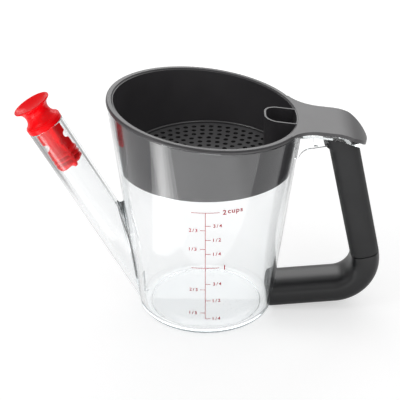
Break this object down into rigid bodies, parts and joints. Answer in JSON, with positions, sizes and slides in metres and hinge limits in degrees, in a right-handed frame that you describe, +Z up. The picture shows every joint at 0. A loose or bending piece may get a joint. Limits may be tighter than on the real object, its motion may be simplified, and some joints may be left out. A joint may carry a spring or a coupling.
{
  "type": "gravy fat separator",
  "caption": "Clear measuring jug with a spout that starts at its floor, a lift-off perforated strainer with a thumb tab, a soft-grip handle and a spout stopper.",
  "frame": {"origin": "centre of the cup's foot ring on the table", "axes": "+Z up, +X towards the handle, the spout leans towards -X"},
  "size_m": [0.2069, 0.1084, 0.1317],
  "materials": {
    "clear_plastic": "clear, polished",
    "hard_black": "semi-gloss",
    "soft_grip": "fine matt",
    "charcoal_plastic": "satin",
    "red_silicone": "satin"
  },
  "bodies": {
    "jug_body": {"jug": "clear_plastic", "handle_core": "hard_black", "handle_grip": "soft_grip"},
    "strainer_body": {"strainer": "charcoal_plastic"},
    "stopper_body": {"spout_stopper": "red_silicone"}
  },
  "joints": [
    {"name": "strainer_lift", "type": "slide", "parent": "jug_body", "child": "strainer_body", "axis": [0, 0, 1], "range_m": [0, 0.06]},
    {"name": "stopper_pull", "type": "slide", "parent": "jug_body", "child": "stopper_body", "axis": [-0.4863, 0, 0.8738], "range_m": [0, 0.045]}
  ]
}
